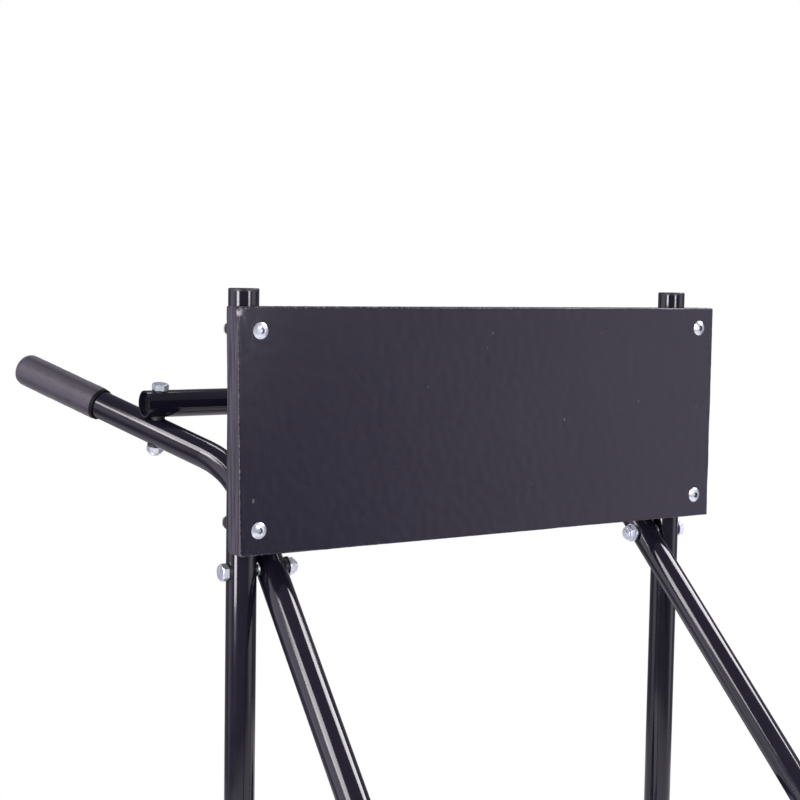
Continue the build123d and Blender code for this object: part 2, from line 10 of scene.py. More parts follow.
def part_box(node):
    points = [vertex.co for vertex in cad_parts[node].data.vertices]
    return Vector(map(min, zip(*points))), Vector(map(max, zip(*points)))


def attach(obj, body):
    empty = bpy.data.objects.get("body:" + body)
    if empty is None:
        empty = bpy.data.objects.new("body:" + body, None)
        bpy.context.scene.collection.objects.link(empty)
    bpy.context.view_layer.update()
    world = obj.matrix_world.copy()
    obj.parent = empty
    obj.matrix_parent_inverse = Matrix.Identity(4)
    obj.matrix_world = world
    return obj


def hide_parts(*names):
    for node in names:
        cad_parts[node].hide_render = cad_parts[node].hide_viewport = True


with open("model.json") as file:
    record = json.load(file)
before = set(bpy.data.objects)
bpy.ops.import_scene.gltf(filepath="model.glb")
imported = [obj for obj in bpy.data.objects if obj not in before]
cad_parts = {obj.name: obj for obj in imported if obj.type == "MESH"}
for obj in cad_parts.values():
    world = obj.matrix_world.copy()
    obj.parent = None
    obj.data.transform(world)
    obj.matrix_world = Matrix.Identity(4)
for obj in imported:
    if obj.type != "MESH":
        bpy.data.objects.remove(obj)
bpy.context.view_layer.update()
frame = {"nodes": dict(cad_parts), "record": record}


# ---------- node helpers ----------

# A Mix node's sockets: its two numbers, its two colours and the colour that comes out.
NUMBER_A, NUMBER_B = 2, 3
COLOUR_A, COLOUR_B, COLOUR_OUT = 6, 7, 2


def put(tree, socket, value):
    """Sets a socket to a number, a vector or a colour, or links another node's output to it."""
    if isinstance(value, bpy.types.NodeSocket):
        tree.links.new(value, socket)
    elif socket.type == "RGBA":
        socket.default_value = (*value, 1.0)
    else:
        socket.default_value = value


def node(tree, kind, inputs=None, **settings):
    """A new node; inputs maps a socket's name or number to a value or to another node's output."""
    made = tree.nodes.new("ShaderNode" + kind)
    for name, value in settings.items():
        setattr(made, name, value)
    for name, value in (inputs or {}).items():
        put(tree, made.inputs[name], value)
    return made


def math_node(tree, operation, *values):
    """The result of a Math node on numbers or other nodes' outputs."""
    made = node(tree, "Math", operation=operation)
    for socket, value in zip(made.inputs, values):
        put(tree, socket, value)
    return made.outputs[0]


def remap(tree, value, low, high, to_low=0.0, to_high=1.0):
    """A smooth step: to_low below low, to_high above high."""
    inputs = {"Value": value, "From Min": low, "From Max": high, "To Min": to_low, "To Max": to_high}
    return node(tree, "MapRange", inputs, interpolation_type="SMOOTHSTEP").outputs[0]


def mix_colour(tree, share, first, second):
    """The first colour where share is 0, the second where it is 1."""
    inputs = {"Factor": share, COLOUR_A: first, COLOUR_B: second}
    return node(tree, "Mix", inputs, data_type="RGBA").outputs[COLOUR_OUT]


def noise(tree, where, scale, detail=2.0, roughness=0.5, stretch=(1, 1, 1)):
    """Noise over a place in metres; scale is in features per metre."""
    mapped = node(tree, "Mapping", {"Vector": where, "Scale": stretch}).outputs[0]
    inputs = {"Vector": mapped, "Scale": scale, "Detail": detail, "Roughness": roughness}
    return node(tree, "TexNoise", inputs).outputs[0]


def along_x(tree, vector):
    return node(tree, "SeparateXYZ", {0: vector}).outputs["X"]


def distance_to(tree, place, point):
    return node(tree, "VectorMath", {0: place, 1: point}, operation="DISTANCE").outputs["Value"]


def material(name):
    """A new material: itself, its tree, its Principled node and the place on the object, in metres."""
    made = bpy.data.materials.new(name)
    made.use_nodes = True
    tree = made.node_tree
    shader = tree.nodes["Principled BSDF"]
    place = node(tree, "TexCoord").outputs["Object"]
    return made, tree, shader, place


def bump(tree, shader, height, depth, strength):
    """A height of 1 becomes relief of that depth in metres, weakened by strength."""
    made = node(tree, "Bump", {"Height": height, "Distance": depth, "Strength": strength})
    tree.links.new(made.outputs[0], shader.inputs["Normal"])


def feed(tree, shader, **sockets):
    """Links outputs or sets values on the shader; underscores stand for spaces."""
    for name, value in sockets.items():
        put(tree, shader.inputs[name.replace("_", " ")], value)


# ---------- materials ----------

# Name of the point attribute for the board's rubbed edges, for the grips' collar, which is painted shade,
# and for their streaks.
WEAR_AND_SHADE = "wear_and_shade"

PAINT_DARK = (0.0070, 0.0058, 0.0150)
PAINT_LIGHT = (0.0125, 0.0108, 0.0220)
END_STREAK_DARK = (0.035, 0.031, 0.041)
END_STREAK_LIGHT = (0.085, 0.077, 0.094)
PAINT_RUBBED = (0.11, 0.10, 0.108)
PAINT_SCUFFED = (0.34, 0.32, 0.35)
BOARD_RELIEF = 0.00012

# The scuffed corner, where the board's left end, front face and top edge meet, and how far the scuff
# is whole and where it ends.
BOARD_SCUFF = (-0.2575, 0.1117, 0.7800)
SCUFF_WHOLE = 0.0012
SCUFF_END = 0.0042

# Brushed marks are whole left of the first place across the board and end at the second.
BRUSHED_WHOLE = -0.245
BRUSHED_END = -0.205


def gloss_black_powder_coat():
    """Gloss black with a faint peel, haze and specks of dust."""
    made, tree, shader, place = material("gloss_black_powder_coat")
    peel = noise(tree, place, 300.0, detail=1.0)
    haze = noise(tree, place, 45.0, detail=4.0, roughness=0.6)
    specks = noise(tree, place, 1500.0, detail=2.0)
    black = mix_colour(tree, haze, (0.0055, 0.0045, 0.0105), (0.0100, 0.0088, 0.0165))
    dust = remap(tree, specks, 0.70, 0.78, 0.0, 0.5)
    feed(
        tree, shader,
        Base_Color=mix_colour(tree, dust, black, (0.05, 0.05, 0.055)),
        Roughness=remap(tree, haze, 0.3, 0.75, 0.08, 0.13),
    )
    bump(tree, shader, peel, 0.00001, 0.5)
    return made


def black_board_paint():
    """Satin black paint on plywood: streaked on the end faces, rubbed on edges and in a few specks."""
    made, tree, shader, place = material("black_board_paint")
    grain = noise(tree, place, 190.0, detail=6.0, roughness=0.65, stretch=(0.22, 1.0, 1.0))
    plies = noise(tree, place, 420.0, detail=4.0, roughness=0.6, stretch=(1.0, 1.0, 0.04))
    mottle = noise(tree, place, 14.0, detail=5.0, roughness=0.6)
    chips = noise(tree, place, 420.0, detail=5.0, roughness=0.7)
    spots = noise(tree, place, 150.0, detail=1.0, stretch=(1.0, 1.0, 0.6))
    brush_marks = noise(tree, place, 330.0, detail=4.0, roughness=0.65, stretch=(1.0, 1.0, 0.12))

    facing = node(tree, "NewGeometry").outputs["True Normal"]
    on_end = remap(tree, math_node(tree, "ABSOLUTE", along_x(tree, facing)), 0.7, 0.95)

    wear_and_shade = node(tree, "Attribute", attribute_name=WEAR_AND_SHADE).outputs["Fac"]
    rubbed = math_node(tree, "MULTIPLY", remap(tree, chips, 0.48, 0.62), remap(tree, wear_and_shade, 0.25, 0.9))
    rubbed = math_node(tree, "MAXIMUM", rubbed, remap(tree, spots, 0.785, 0.82, 0.0, 0.6))
    near_corner = remap(tree, distance_to(tree, place, BOARD_SCUFF), SCUFF_WHOLE, SCUFF_END, 1.0, 0.0)
    scuffed = math_node(tree, "MULTIPLY", near_corner, remap(tree, chips, 0.36, 0.55))

    paint = mix_colour(tree, mottle, PAINT_DARK, PAINT_LIGHT)
    streaks = mix_colour(tree, remap(tree, plies, 0.40, 0.60), END_STREAK_DARK, END_STREAK_LIGHT)
    paint = mix_colour(tree, math_node(tree, "MULTIPLY", on_end, 0.8), paint, streaks)
    paint = mix_colour(tree, rubbed, paint, PAINT_RUBBED)
    paint = mix_colour(tree, scuffed, paint, PAINT_SCUFFED)

    roughness = remap(tree, math_node(tree, "MULTIPLY_ADD", grain, 0.4, rubbed), 0.1, 1.0, 0.22, 0.52)
    roughness = math_node(tree, "ADD", roughness, math_node(tree, "MULTIPLY", on_end, 0.15))
    feed(
        tree, shader,
        Base_Color=paint,
        Roughness=roughness,
        Specular_IOR_Level=remap(tree, on_end, 0.0, 1.0, 0.38, 0.24),
    )

    near_left_end = remap(tree, along_x(tree, place), BRUSHED_WHOLE, BRUSHED_END, 1.0, 0.0)
    brushed = math_node(tree, "MULTIPLY", brush_marks, near_left_end)
    height = math_node(tree, "MULTIPLY", grain, 0.15)
    height = math_node(tree, "ADD", height, math_node(tree, "MULTIPLY", plies, on_end))
    height = math_node(tree, "ADD", height, math_node(tree, "MULTIPLY", brushed, 3.2))
    bump(tree, shader, height, BOARD_RELIEF, 0.4)
    return made


def zinc_plate(name, shade_reach, shade_from, shade_to):
    """Bright zinc with painted shade: its colour darkens in sockets and corners, where less open sky is seen
    within the reach given.
    """
    made, tree, shader, place = material(name)
    cloud = noise(tree, place, 180.0, detail=3.0)
    bright = mix_colour(tree, cloud, (0.66, 0.70, 0.79), (0.80, 0.83, 0.88))
    # Painted shade: occlusion within the reach mixes a dark blue-grey into the base colour.
    open_sky = node(tree, "AmbientOcclusion", {"Distance": shade_reach}, samples=8).outputs["AO"]
    feed(
        tree, shader,
        Base_Color=mix_colour(tree, remap(tree, open_sky, shade_from, shade_to), (0.08, 0.10, 0.15), bright),
        Metallic=0.85,
        Roughness=remap(tree, cloud, 0.3, 0.7, 0.27, 0.37),
    )
    return made


def moulded_plastic(name, dark, light, smooth, matt, cell, depth):
    """Moulded plastic or rubber with a fine skin: cells per metre, that deep, from smooth to matt."""
    made, tree, shader, place = material(name)
    cloud = noise(tree, place, 45.0, detail=3.0)
    skin = noise(tree, place, cell, detail=2.0)
    feed(
        tree, shader,
        Base_Color=mix_colour(tree, cloud, dark, light),
        Roughness=remap(tree, skin, 0.3, 0.7, smooth, matt),
    )
    bump(tree, shader, skin, depth, 0.6)
    return made


def grip_foam():
    """Grey-black foam with faint lengthwise streaks; the collar at the sleeve's mouth is near-black and
    dull, painted shade where the sleeve meets the tube.
    """
    made, tree, shader, place = material("grip_foam")
    marks = node(tree, "Attribute", attribute_name=WEAR_AND_SHADE).outputs["Fac"]
    # The collar's mark paints shade: a near-black colour, little gloss and no sheen.
    collar_shade = remap(tree, marks, 0.7, 0.9)
    cloud = math_node(tree, "MULTIPLY_ADD", noise(tree, place, 60.0, detail=4.0), 0.4, marks)
    pores = noise(tree, place, 1100.0, detail=3.0, roughness=0.6)
    foam = mix_colour(tree, remap(tree, cloud, 0.25, 0.75), (0.011, 0.008, 0.016), (0.049, 0.040, 0.059))
    foam = mix_colour(tree, remap(tree, pores, 0.35, 0.65, 0.0, 0.35), foam, (0.012, 0.011, 0.014))
    feed(
        tree, shader,
        Base_Color=mix_colour(tree, collar_shade, foam, (0.004, 0.004, 0.005)),
        Roughness=remap(tree, pores, 0.3, 0.7, 0.42, 0.56),
        Specular_IOR_Level=remap(tree, collar_shade, 0.0, 1.0, 0.5, 0.12),
        Sheen_Weight=remap(tree, collar_shade, 0.0, 1.0, 0.2, 0.0),
    )
    bump(tree, shader, pores, 0.0001, 0.6)
    return made


def silver_rim_paint():
    """Silver-grey paint with metal flake and a faint peel."""
    made, tree, shader, place = material("silver_rim_paint")
    flake = noise(tree, place, 4000.0, detail=1.0)
    cloud = noise(tree, place, 30.0, detail=4.0)
    peel = noise(tree, place, 350.0, detail=1.0)
    silver = mix_colour(tree, cloud, (0.50, 0.51, 0.52), (0.62, 0.62, 0.62))
    feed(
        tree, shader,
        Base_Color=mix_colour(tree, remap(tree, flake, 0.55, 0.7, 0.0, 0.4), silver, (0.85, 0.86, 0.88)),
        Metallic=0.55,
        Roughness=remap(tree, cloud, 0.3, 0.7, 0.3, 0.42),
    )
    bump(tree, shader, peel, 0.00004, 0.5)
    return made


def ground_steel():
    """Bare steel with fine marks from turning."""
    made, tree, shader, place = material("ground_steel")
    turned_marks = noise(tree, place, 900.0, detail=3.0, stretch=(8, 1, 1))
    steel = mix_colour(tree, turned_marks, (0.46, 0.46, 0.47), (0.66, 0.66, 0.66))
    feed(tree, shader, Base_Color=steel, Metallic=1.0, Roughness=0.28)
    bump(tree, shader, turned_marks, 0.00003, 0.5)
    return made


MATERIALS = {
    "frame_paint": gloss_black_powder_coat(),
    "board_paint": black_board_paint(),
    "zinc": zinc_plate("zinc_plate", shade_reach=0.0015, shade_from=0.2, shade_to=0.7),
    "saddle_plastic": moulded_plastic(
        "saddle_plastic", dark=(0.012, 0.012, 0.013), light=(0.020, 0.020, 0.022),
        smooth=0.42, matt=0.6, cell=1400.0, depth=0.00005,
    ),
    "cap_plastic": moulded_plastic(
        "cap_plastic", dark=(0.011, 0.010, 0.014), light=(0.018, 0.017, 0.022),
        smooth=0.34, matt=0.5, cell=1200.0, depth=0.00004,
    ),
    "grip_foam": grip_foam(),
    "foot_rubber": moulded_plastic(
        "foot_rubber", dark=(0.016, 0.016, 0.016), light=(0.028, 0.028, 0.028),
        smooth=0.55, matt=0.75, cell=800.0, depth=0.0001,
    ),
    "tyre_rubber": moulded_plastic(
        "tyre_rubber", dark=(0.014, 0.014, 0.015), light=(0.026, 0.026, 0.026),
        smooth=0.6, matt=0.8, cell=700.0, depth=0.00012,
    ),
    "air_tube_rubber": moulded_plastic(
        "air_tube_rubber", dark=(0.012, 0.012, 0.012), light=(0.02, 0.02, 0.02),
        smooth=0.5, matt=0.65, cell=900.0, depth=0.00006,
    ),
    "rim_paint": silver_rim_paint(),
    "bearing_steel": ground_steel(),
}

# The board screws' sockets are deeper than the other zinc parts' corners, so their painted shade reaches
# further and is darker.
OWN_MATERIALS = {
    "board_screws": zinc_plate("zinc_plate_sockets", shade_reach=0.004, shade_from=0.42, shade_to=0.78),
}

SLOTS = {part["node"]: part["material_slot"] for part in frame["record"]["subparts"]}


def dress_cad_nodes():
    """Every CAD node gets its own material or that of its slot in the record."""
    for name, piece in frame["nodes"].items():
        slot = SLOTS[name]
        piece.data.materials.clear()
        piece.data.materials.append(OWN_MATERIALS.get(name, MATERIALS[slot]))


# ---------- pieces with a finer shape than their CAD nodes ----------


def piece(name, points, faces, slot, body, *stands_for):
    """A closed mesh that rides on a body and stands for CAD nodes."""
    mesh = bpy.data.meshes.new(name)
    mesh.from_pydata([tuple(point) for point in points], [], [tuple(face) for face in faces])
    mesh.polygons.foreach_set("use_smooth", [True] * len(mesh.polygons))
    mesh.materials.append(MATERIALS[slot])
    made = bpy.data.objects.new(name, mesh)
    bpy.context.scene.collection.objects.link(made)
    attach(made, body)
    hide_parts(*stands_for)
    return made


def mark_points(made, marks):
    """Gives each point of a piece its mark, which the materials read."""
    made.data.attributes.new(WEAR_AND_SHADE, "FLOAT", "POINT").data.foreach_set("value", marks)


def grid_faces(rows, columns):
    """Faces of a grid that closes on itself both ways."""
    faces = []
    for row in range(rows):
        below = (row + 1) % rows
        for column in range(columns):
            beside = (column + 1) % columns
            faces.append((row * columns + column, row * columns + beside,
                          below * columns + beside, below * columns + column))
    return faces


# The board's points lie a fine step apart in a zone along its edges, and a coarse step elsewhere.
EDGE_ZONE = 0.0048
FINE_STEP = 0.0004
COARSE_STEPS = (0.0030, 0.0011, 0.0030)


def lattice_axis(half, coarse):
    """Places from -half to half, a fine step apart near both ends and a coarse step between."""
    inner = half - EDGE_ZONE
    middle = np.linspace(-inner, inner, int(2 * inner / coarse) + 2)
    low = np.linspace(-half, -inner, int(EDGE_ZONE / FINE_STEP) + 1)
    return np.concatenate((low[:-1], middle, -low[::-1][1:]))


def box_surface(axes):
    """Points and faces of the closed surface of a lattice."""
    sizes = [len(axis) for axis in axes]
    numbers = {}
    points = []

    def number(index):
        if index not in numbers:
            numbers[index] = len(points)
            points.append([axes[k][index[k]] for k in range(3)])
        return numbers[index]

    faces = []
    for across in range(3):
        first, second = (across + 1) % 3, (across + 2) % 3
        for end in (0, sizes[across] - 1):
            for i in range(sizes[first] - 1):
                for j in range(sizes[second] - 1):
                    corners = []
                    for di, dj in ((0, 0), (1, 0), (1, 1), (0, 1)):
                        index = [0, 0, 0]
                        index[across], index[first], index[second] = end, i + di, j + dj
                        corners.append(number(tuple(index)))
                    faces.append(corners if end else corners[::-1])
    return np.array(points), faces


# Smooth noise: how fast finer waves fall off, how much finer each is, and how many there are.
NOISE_FALL = 0.8
NOISE_FINER = 2.0
NOISE_WAVES = 4


def rough(point, scale):
    """Smooth noise between about -1 and 1 at a place in metres; scale is in features per metre."""
    return mathutils_noise.fractal(Vector(point) * scale, NOISE_FALL, NOISE_FINER, NOISE_WAVES)


BOARD_LOW, BOARD_HIGH = (np.array(corner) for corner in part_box("mounting_board"))
BOARD_CENTRE = (BOARD_LOW + BOARD_HIGH) / 2
BOARD_HALF = (BOARD_HIGH - BOARD_LOW) / 2
BOARD_EDGE_R = 0.0014
BOARD_EDGE_R_LEAST = 0.0007
BOARD_EDGE_R_MOST = 0.0040
BOARD_EDGE_UNEVEN = 0.0008
BOARD_EDGE_WAVES = 26.0
BOARD_CORNER_RUB = 0.0014
BOARD_CORNER_RUB_REACH = 0.006
BOARD_SKIN_UNEVEN = 0.00012
BOARD_SKIN_WAVES = 170.0
BOARD_WEAR_GAIN = 1.6
# How far the left end stands out at its bottom and top, along the front face and along the rear face,
# and how far from the end that fades away.
LEFT_END_OUT_FRONT = (-0.0012, 0.0030)
LEFT_END_OUT_REAR = (-0.0020, 0.0012)
LEFT_END_REACH = 0.03
# Place across and depth of each nick in the front top edge.
BOARD_NICKS = ((-0.118, 0.0011), (-0.052, 0.0008), (0.012, 0.0012), (0.031, 0.0006), (0.165, 0.0009))
NICK_WIDTH = 0.0016


def board_edge_radius(point):
    """The rounding of the board's edges near a point: uneven, larger at the rubbed corner and the nicks."""
    x, y, z = point
    radius = BOARD_EDGE_R + BOARD_EDGE_UNEVEN * rough(point, BOARD_EDGE_WAVES)
    to_corner = math.dist(point, (-BOARD_HALF[0], -BOARD_HALF[1], BOARD_HALF[2]))
    radius += BOARD_CORNER_RUB * math.exp(-(to_corner / BOARD_CORNER_RUB_REACH) ** 2)
    if y < 0 and z > 0:
        radius += sum(depth * math.exp(-((x - at) / NICK_WIDTH) ** 2) for at, depth in BOARD_NICKS)
    return min(max(radius, BOARD_EDGE_R_LEAST), BOARD_EDGE_R_MOST)


def left_end_out(point):
    """How far a point is moved out to the left by the end that is out of square."""
    x, y, z = point
    front, rear = (np.interp(z, (-BOARD_HALF[2], BOARD_HALF[2]), out_by)
                   for out_by in (LEFT_END_OUT_FRONT, LEFT_END_OUT_REAR))
    end_out = np.interp(y, (-BOARD_HALF[1], BOARD_HALF[1]), (front, rear))
    return end_out * np.interp(x, (-BOARD_HALF[0], -BOARD_HALF[0] + LEFT_END_REACH), (1.0, 0.0))


def mounting_board():
    """The clamp board: uneven rounded edges, a rubbed corner, nicks, its left end a little out of square."""
    axes = [lattice_axis(half, coarse) for half, coarse in zip(BOARD_HALF, COARSE_STEPS)]
    points, faces = box_surface(axes)
    worn = []
    for point in points:
        radius = board_edge_radius(point)
        end_out = left_end_out(point)
        core = np.clip(point, radius - BOARD_HALF, BOARD_HALF - radius)
        out = point - core
        length = np.linalg.norm(out)
        rounding = np.sort(np.abs(out))[1] / radius
        worn.append(min(1.0, rounding * BOARD_WEAR_GAIN))
        point[:] = core + out / length * radius
        point[0] -= end_out
        point[:] += out / length * BOARD_SKIN_UNEVEN * rough(point, BOARD_SKIN_WAVES)
    points += BOARD_CENTRE
    made = piece("mounting_board_worn", points, faces, "board_paint", "frame", "mounting_board")
    mark_points(made, worn)


GRIP_R = 0.0147
GRIP_BORE_R = 0.01275
GRIP_WALL = 0.0042
GRIP_LIP_R = 0.0008
GRIP_TIP_R = 0.008
GRIP_COLLAR_R = 0.0143
GRIP_COLLAR = 0.0030
GRIP_BEVEL = 0.0003
GRIP_MOUTH_BEVEL = 0.0002
GRIP_POLE_R = 0.0004
GRIP_SPOKES = 128
# The foam's skin is uneven only this far outside the bore: depth and waves of its fine and coarse parts.
GRIP_FOAM_CLEAR = 0.0005
GRIP_PORES = ((0.00010, 900.0), (0.00014, 110.0))
# Streaks round the sleeve vary about this middle up to this most; the collar's mark is 1.
GRIP_STREAK_WAVES = 2.6
GRIP_STREAK_MIDDLE = 0.3
GRIP_STREAK_SWING = 0.3
GRIP_STREAK_MOST = 0.6
# The right grip's mouth and tip, on its tube's middle line.
RIGHT_GRIP_FROM = Vector((0.27338, 0.344463, 0.689896))
RIGHT_GRIP_TO = Vector((0.318213, 0.422163, 0.720199))


def grip_profile(length):
    """(along, radius) points round the sleeve's section, closed on themselves."""
    outside = [(0.0, GRIP_BORE_R + GRIP_MOUTH_BEVEL)]
    outside += [(0.0, GRIP_COLLAR_R - GRIP_BEVEL), (GRIP_BEVEL, GRIP_COLLAR_R)]
    outside += [(along, GRIP_COLLAR_R) for along in np.linspace(0.001, GRIP_COLLAR - 0.0002, 5)]
    outside += [
        (GRIP_COLLAR + GRIP_LIP_R * (1 - math.cos(a)), GRIP_R - GRIP_LIP_R + GRIP_LIP_R * math.sin(a))
        for a in np.linspace(-0.3, math.pi / 2, 7)
    ]
    straight = np.linspace(GRIP_COLLAR + GRIP_LIP_R * 2, length - GRIP_TIP_R, 90)
    outside += [(along, GRIP_R) for along in straight]
    outside += [
        (length - GRIP_TIP_R + GRIP_TIP_R * math.sin(a), GRIP_R - GRIP_TIP_R + GRIP_TIP_R * math.cos(a))
        for a in np.linspace(0.12, math.pi / 2, 14)
    ]
    outside += [(length, radius) for radius in np.linspace(GRIP_R - GRIP_TIP_R - 0.001, GRIP_POLE_R, 8)]
    inner_radii = (GRIP_POLE_R, 0.006, GRIP_BORE_R - 0.0008, GRIP_BORE_R)
    inside = [(length - GRIP_WALL, radius) for radius in inner_radii]
    inside += [(along, GRIP_BORE_R) for along in np.linspace(length - GRIP_WALL - 0.002, 0.0005, 20)]
    return outside + inside


def grip_mark(along, turn, sign):
    """1 on the collar, which is painted shade, and a streak's strength on the foam."""
    if along < GRIP_COLLAR - 0.0001:
        return 1.0
    wave = rough((math.cos(turn), math.sin(turn), sign), GRIP_STREAK_WAVES)
    return min(max(GRIP_STREAK_MIDDLE + GRIP_STREAK_SWING * wave, 0.0), GRIP_STREAK_MOST)


def grips():
    """Foam sleeves with a narrow collar round the tube, painted black as shade, and a rounded closed tip."""
    for side, sign in (("left", -1.0), ("right", 1.0)):
        mirror = Vector((sign, 1.0, 1.0))
        start = RIGHT_GRIP_FROM * mirror
        axis = RIGHT_GRIP_TO * mirror - start
        length = axis.length
        axis.normalize()
        profile = grip_profile(length)
        beside = axis.orthogonal().normalized()
        around = axis.cross(beside)
        points = []
        marks = []
        for along, radius in profile:
            foam = along > GRIP_COLLAR and radius > GRIP_BORE_R + GRIP_FOAM_CLEAR
            for spoke in range(GRIP_SPOKES):
                turn = math.tau * spoke / GRIP_SPOKES
                out = beside * math.cos(turn) + around * math.sin(turn)
                place = start + axis * along + out * radius
                if foam:
                    place = place + out * sum(depth * rough(place, waves) for depth, waves in GRIP_PORES)
                points.append(place)
                marks.append(grip_mark(along, turn, sign))
        faces = grid_faces(len(profile), GRIP_SPOKES)
        made = piece(f"{side}_grip_sleeve", points, faces, "grip_foam", "frame", f"{side}_grip")
        mark_points(made, marks)


TYRE_SPOKES = 540
TREAD_BLOCKS = 54
TREAD_DEPTH = 0.0030
# The tread's cuts begin at this radius and reach their depth a little further out.
TREAD_FROM_R = 0.1195
TREAD_FADE = 0.0015
# Places across of the grooves round the tread; the middle one waves.
GROOVES = (-0.014, 0.0, 0.014)
GROOVE_HALF = 0.0016
GROOVE_SLOPE = 0.0007
GROOVE_WAVE = 0.0011
# Notches across the tread. Their half and slope are shares of a block, their slant is in blocks per metre.
SHOULDER_FROM = 0.0155
SHOULDER_NOTCH_HALF = 0.11
SHOULDER_SLANT = 22.0
RIB_FROM = 0.0035
RIB_NOTCH_HALF = 0.05
RIB_NOTCH_DEEP = 0.6
RIB_SLANT = 30.0
NOTCH_SLOPE = 0.05
# Rings stand out of the wall between these radii, and short ribs are left between cuts in it.
WALL_RINGS = ((0.0735, 0.0755), (0.1030, 0.1045))
WALL_RING_OUT = 0.0006
WALL_CUTS = (0.1060, 0.1180)
WALL_CUT_DEPTH = 0.0007
WALL_CUT_SHARE = 0.4
WHEELS_AT = {joint["child"]: Vector(joint["pos_m"]) for joint in frame["record"]["behaviour"]["joints"]}


def arc(start, middle, end, count):
    """Points from start to end on the circle through the three, without the last."""
    a, b, c = (complex(*p) for p in (start, middle, end))
    w = (c - a) / (b - a)
    centre = (b - a) * (w - abs(w) ** 2) / (2j * w.imag) + a
    first = a - centre
    turn_middle = np.angle((b - centre) / first)
    turn_end = np.angle((c - centre) / first)
    if turn_middle * turn_end < 0:
        turn_end += math.copysign(math.tau, turn_middle)
    turned = [centre + first * np.exp(1j * turn_end * k / count) for k in range(count)]
    return [(point.real, point.imag) for point in turned]


def tyre_profile():
    """(x, radius) in metres round the tyre's section, worked out in mm, and how many points are outside."""
    side = [(24.4, 50.1), (27.2, 52.9), (27.2, 57.0)]
    side += arc((27.2, 62.0), (36.8, 84.0), (34.0, 112.0), 26)
    side += arc((34.0, 112.0), (32.6, 118.0), (28.0, 121.5), 8)
    tread = arc((28.0, 121.5), (0.0, 127.0), (-28.0, 121.5), 76)
    other = [(-x, radius) for x, radius in reversed(side)]
    inner = arc((-19.0, 58.0), (-31.2, 82.0), (-29.0, 108.0), 10)
    inner += arc((-29.0, 108.0), (0.0, 118.0), (29.0, 108.0), 16)
    inner += arc((29.0, 108.0), (31.2, 82.0), (19.0, 58.0), 10)
    whole = side + tread + other + [(-19.0, 50.1)] + inner + [(19.0, 58.0), (19.0, 50.1)]
    return [(x / 1000, radius / 1000) for x, radius in whole], len(side) + len(tread) + len(other)


def trough(distance, half, slope):
    """1 within half of a cut's middle, and 0 or less past its slope."""
    return 1.0 - max(0.0, (distance - half) / slope)


def tread_cut(x, turn):
    """From 0 to 1, how far the tread is cut in: grooves round it, slanted notches across it."""
    block = turn * TREAD_BLOCKS / math.tau
    cut = 0.0
    for groove in GROOVES:
        wave = GROOVE_WAVE * math.sin(turn * TREAD_BLOCKS) if groove == 0.0 else 0.0
        cut = max(cut, trough(abs(x - groove - wave), GROOVE_HALF, GROOVE_SLOPE))
    if abs(x) > SHOULDER_FROM:
        phase = (block + abs(x) * SHOULDER_SLANT + (0.5 if x > 0 else 0.0)) % 1.0
        cut = max(cut, trough(abs(phase - 0.5), SHOULDER_NOTCH_HALF, NOTCH_SLOPE))
    elif abs(x) > RIB_FROM:
        phase = (block - x * RIB_SLANT) % 1.0
        cut = max(cut, RIB_NOTCH_DEEP * trough(abs(phase - 0.5), RIB_NOTCH_HALF, NOTCH_SLOPE))
    return cut


def tyre_outside(x, radius, turn):
    """Where a point of the tyre's plain outside goes for the tread and the wall's rings and ribs."""
    if radius > TREAD_FROM_R:
        fade = min(1.0, (radius - TREAD_FROM_R) / TREAD_FADE)
        return x, radius - TREAD_DEPTH * fade * tread_cut(x, turn)
    if any(low < radius < high for low, high in WALL_RINGS):
        return x + math.copysign(WALL_RING_OUT, x), radius
    in_cut = (turn * 2 * TREAD_BLOCKS / math.tau) % 1.0 < WALL_CUT_SHARE
    if in_cut and WALL_CUTS[0] < radius < WALL_CUTS[1]:
        return x - math.copysign(WALL_CUT_DEPTH, x), radius
    return x, radius


def tyres():
    """Hollow tyres with blocks on the tread, and rings and short ribs on the walls."""
    profile, outer_count = tyre_profile()
    for side, sign in (("left", -1.0), ("right", 1.0)):
        centre = WHEELS_AT[f"{side}_wheel"]
        points = []
        for number, (x, radius) in enumerate(profile):
            for spoke in range(TYRE_SPOKES):
                turn = math.tau * spoke / TYRE_SPOKES
                across, r = tyre_outside(x, radius, turn) if number < outer_count else (x, radius)
                points.append(centre + Vector((sign * across, r * math.sin(turn), r * math.cos(turn))))
        faces = grid_faces(len(profile), TYRE_SPOKES)
        piece(f"{side}_tyre_tread", points, faces, "tyre_rubber", f"{side}_wheel", f"{side}_tyre")


# ---------- studio ----------

# The softboxes stand round this point, just in front of the clamp board's middle, and face it.
MIDDLE = Vector((0.0, 0.1, 0.65))
LAMP_TINT = (0.99, 0.955, 1.0)
ROOM_TINT = (1.0, 0.955, 1.08)
ROOM_RADIANCE = 0.22
WHITE = (1.0, 1.0, 1.0)

FLOOR_REACH = 1.6
FLOOR_RINGS = 16
FLOOR_SPOKES = 96
# The floor fades out from this point, between these distances, for the camera and for reflections.
FADE_MIDDLE = (0.05, 0.05, 0.0)
SEEN_FADE = (0.62, 1.05)
MIRRORED_FADE = (1.20, 1.55)

CAMERA_AT = (-0.86176, -1.02513, 0.81072)
CAMERA_FORWARD = (0.55290, 0.82976, -0.07620)
CAMERA_RIGHT = (0.83276, -0.55340, 0.01629)
SENSOR_MM = 36.0
LENS_MM = 73.195


def direction(azimuth, elevation):
    """Azimuth 0 is in front of the board (-Y) and 90 is to the right (+X), in degrees."""
    a = math.radians(azimuth)
    e = math.radians(elevation)
    return Vector((math.sin(a) * math.cos(e), -math.cos(a) * math.cos(e), math.sin(e)))


